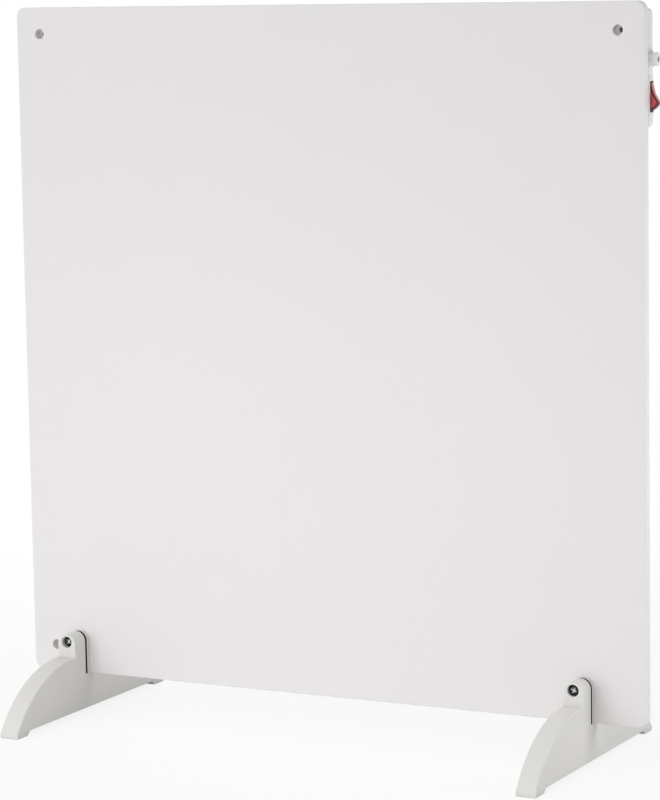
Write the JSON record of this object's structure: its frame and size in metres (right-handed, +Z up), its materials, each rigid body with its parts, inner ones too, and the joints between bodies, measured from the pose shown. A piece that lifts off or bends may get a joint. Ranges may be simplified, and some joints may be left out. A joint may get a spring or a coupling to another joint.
{
  "type": "wall panel heater",
  "caption": "Flat square radiant panel heater on two clamp-on feet, with corner holes for wall fixing and a side switch housing behind its top corner.",
  "frame": {"origin": "on the floor, under the middle of the heater's overall box", "axes": "+X to the right seen from the front, +Y from the heated face to the back, +Z up"},
  "size_m": [0.608, 0.252, 0.635],
  "materials": {
    "board_paint": "satin",
    "element_foil": "satin",
    "mat": "matte",
    "white_plastic": "satin",
    "foot_plastic": "satin",
    "pad_plastic": "matte",
    "facing_rubber": "matte",
    "zinc": "satin",
    "brass": "satin",
    "tin": "satin",
    "insulation": "matte",
    "black_plastic": "satin",
    "block_plastic": "satin",
    "rocker_red": "gloss",
    "lamp_glass": "polished",
    "cutout_case": "satin",
    "red_wire": "satin",
    "blue_wire": "satin",
    "white_sleeve": "matte"
  },
  "bodies": {
    "panel": {"front_board": "board_paint", "rear_board": "board_paint", "heating_element": "element_foil", "element_mat": "mat", "element_studs": "tin", "stud_nuts": "tin", "ring_terminals": "tin", "switch_housing": "white_plastic", "housing_screws": "zinc", "housing_inserts": "brass", "insulating_plate": "insulation", "switch_bezel": "white_plastic", "switch_body": "black_plastic", "switch_terminals": "brass", "cord_gland": "white_plastic", "cord_saddle": "block_plastic", "cord_clamp": "block_plastic", "cord_clamp_screws": "zinc", "terminal_block": "block_plastic", "terminal_screws": "brass", "thermal_cutout": "cutout_case", "cutout_clip": "zinc", "standoff_top_left": "white_plastic", "standoff_top_right": "white_plastic", "standoff_bottom_left": "white_plastic", "feed_wire": "red_wire", "neutral_wire": "blue_wire", "lamp_wire": "blue_wire", "load_wire": "red_wire", "element_wire": "white_sleeve"},
    "rocker": {"switch_rocker": "rocker_red", "neon_lamp": "lamp_glass"},
    "left_foot": {"left_foot": "foot_plastic", "left_toe_pad": "pad_plastic", "left_heel_pad": "pad_plastic", "left_clamp_nut": "zinc"},
    "left_pad": {"left_pressure_pad": "foot_plastic", "left_pad_facing": "facing_rubber"},
    "left_screw": {"left_clamp_screw": "zinc"},
    "right_foot": {"right_foot": "foot_plastic", "right_toe_pad": "pad_plastic", "right_heel_pad": "pad_plastic", "right_clamp_nut": "zinc"},
    "right_pad": {"right_pressure_pad": "foot_plastic", "right_pad_facing": "facing_rubber"},
    "right_screw": {"right_clamp_screw": "zinc"}
  },
  "joints": [
    {"name": "rocker_tilt", "type": "hinge", "parent": "panel", "child": "rocker", "pos_m": [0.29274, 0.0089, 0.5573], "axis": [0, 1, 0], "range_deg": [0, 45]},
    {"name": "left_foot_slide", "type": "slide", "parent": "panel", "child": "left_foot", "axis": [1, 0, 0], "range_m": [-0.005, 0.2]},
    {"name": "left_pad_slide", "type": "slide", "parent": "left_foot", "child": "left_pad", "axis": [0, -1, 0], "range_m": [0, 0.0022]},
    {"name": "left_screw_turn", "type": "hinge", "parent": "left_pad", "child": "left_screw", "pos_m": [-0.255, -0.028, 0.067], "axis": [0, -1, 0], "range_deg": [0, 990]},
    {"name": "right_foot_slide", "type": "slide", "parent": "panel", "child": "right_foot", "axis": [1, 0, 0], "range_m": [-0.2, 0.04]},
    {"name": "right_pad_slide", "type": "slide", "parent": "right_foot", "child": "right_pad", "axis": [0, -1, 0], "range_m": [0, 0.0022]},
    {"name": "right_screw_turn", "type": "hinge", "parent": "right_pad", "child": "right_screw", "pos_m": [0.2395, -0.028, 0.067], "axis": [0, -1, 0], "range_deg": [0, 990]}
  ],
  "couplings": [
    {"joint": "left_screw_turn", "follows": "left_pad_slide", "rad_per_m": 7854},
    {"joint": "right_screw_turn", "follows": "right_pad_slide", "rad_per_m": 7854}
  ]
}
